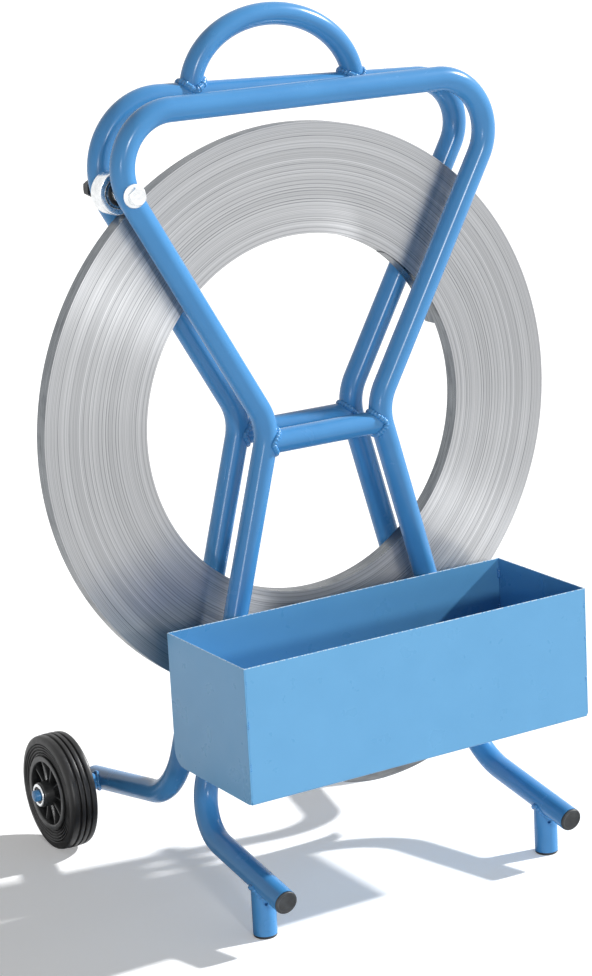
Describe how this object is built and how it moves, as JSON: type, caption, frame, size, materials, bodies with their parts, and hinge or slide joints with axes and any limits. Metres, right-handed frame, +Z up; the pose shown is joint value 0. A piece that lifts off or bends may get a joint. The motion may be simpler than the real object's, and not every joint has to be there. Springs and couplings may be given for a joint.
{
  "type": "strapping dispenser trolley",
  "caption": "Mobile steel strapping dispenser: a ribbon-wound coil turns on rollers between bent-tube frames, with a tool tray, a carrying handle and transport wheels.",
  "frame": {"origin": "on the floor under the middle of the overall box", "axes": "+X to the right of somebody facing the tool tray, +Y from the tray to the wheels and along the coil's axis, +Z up"},
  "size_m": [0.65, 0.496, 0.9765],
  "materials": {
    "blue_enamel": "glossy light-blue enamel on steel tube and sheet",
    "zinc_plate": "bright zinc plate",
    "strap_steel": "rolled and slit, slightly oiled",
    "bearing_steel": "ground steel with black rubber seals",
    "tyre_rubber": "matt moulded rubber",
    "rim_plastic": "moulded polypropylene",
    "plug_plastic": "moulded polyethylene"
  },
  "bodies": {
    "frame": {"front_frame_tube": "blue_enamel", "back_frame_tube": "blue_enamel", "front_crossbar": "blue_enamel", "back_crossbar": "blue_enamel", "carrying_handle": "blue_enamel", "tray_body": "blue_enamel", "tray_end_left": "blue_enamel", "tray_end_right": "blue_enamel", "foot_post_left": "blue_enamel", "foot_post_right": "blue_enamel", "foot_pad_left": "plug_plastic", "foot_pad_right": "plug_plastic", "front_end_plug_left": "plug_plastic", "front_end_plug_right": "plug_plastic", "back_end_plug_left": "plug_plastic", "back_end_plug_right": "plug_plastic", "stub_axle_left": "blue_enamel", "stub_axle_right": "blue_enamel", "axle_shoulder_left": "blue_enamel", "axle_shoulder_right": "blue_enamel", "wheel_retainer_left": "zinc_plate", "wheel_retainer_right": "zinc_plate", "strap_tail": "strap_steel", "guide_roller_bolt": "zinc_plate", "guide_roller_nut": "plug_plastic", "guide_roller_sleeve_front": "zinc_plate", "guide_roller_sleeve_back": "zinc_plate", "support_roller_left_bolt": "zinc_plate", "support_roller_left_nut": "plug_plastic", "support_roller_left_sleeve_front": "zinc_plate", "support_roller_left_sleeve_back": "zinc_plate", "support_roller_right_bolt": "zinc_plate", "support_roller_right_nut": "plug_plastic", "support_roller_right_sleeve_front": "zinc_plate", "support_roller_right_sleeve_back": "zinc_plate"},
    "coil": {"strap_coil": "strap_steel"},
    "guide_roller": {"guide_roller_shell": "zinc_plate", "guide_roller_bearing_front": "bearing_steel", "guide_roller_bearing_back": "bearing_steel"},
    "support_roller_left": {"support_roller_left_shell": "zinc_plate", "support_roller_left_bearing_front": "bearing_steel", "support_roller_left_bearing_back": "bearing_steel"},
    "support_roller_right": {"support_roller_right_shell": "zinc_plate", "support_roller_right_bearing_front": "bearing_steel", "support_roller_right_bearing_back": "bearing_steel"},
    "wheel_left": {"wheel_rim_left": "rim_plastic", "tyre_left": "tyre_rubber"},
    "wheel_right": {"wheel_rim_right": "rim_plastic", "tyre_right": "tyre_rubber"}
  },
  "joints": [
    {"name": "coil_spin", "type": "hinge", "parent": "frame", "child": "coil", "pos_m": [0, -0.02996, 0.523], "axis": [0, 1, 0], "continuous": true},
    {"name": "guide_roller_spin", "type": "hinge", "parent": "frame", "child": "guide_roller", "pos_m": [-0.21651, -0.02996, 0.79647], "axis": [0, 1, 0], "continuous": true},
    {"name": "support_roller_left_spin", "type": "hinge", "parent": "frame", "child": "support_roller_left", "pos_m": [-0.14821, -0.02996, 0.20725], "axis": [0, 1, 0], "continuous": true},
    {"name": "support_roller_right_spin", "type": "hinge", "parent": "frame", "child": "support_roller_right", "pos_m": [0.16232, -0.02996, 0.21427], "axis": [0, 1, 0], "continuous": true},
    {"name": "wheel_left_spin", "type": "hinge", "parent": "frame", "child": "wheel_left", "pos_m": [-0.23645, 0.17904, 0.069], "axis": [1, 0, 0], "continuous": true},
    {"name": "wheel_right_spin", "type": "hinge", "parent": "frame", "child": "wheel_right", "pos_m": [0.25245, 0.17904, 0.069], "axis": [1, 0, 0], "continuous": true}
  ],
  "couplings": [
    {"joint": "guide_roller_spin", "follows": "coil_spin", "ratio": -13.83},
    {"joint": "support_roller_left_spin", "follows": "coil_spin", "ratio": -13.83},
    {"joint": "support_roller_right_spin", "follows": "coil_spin", "ratio": -13.83}
  ]
}
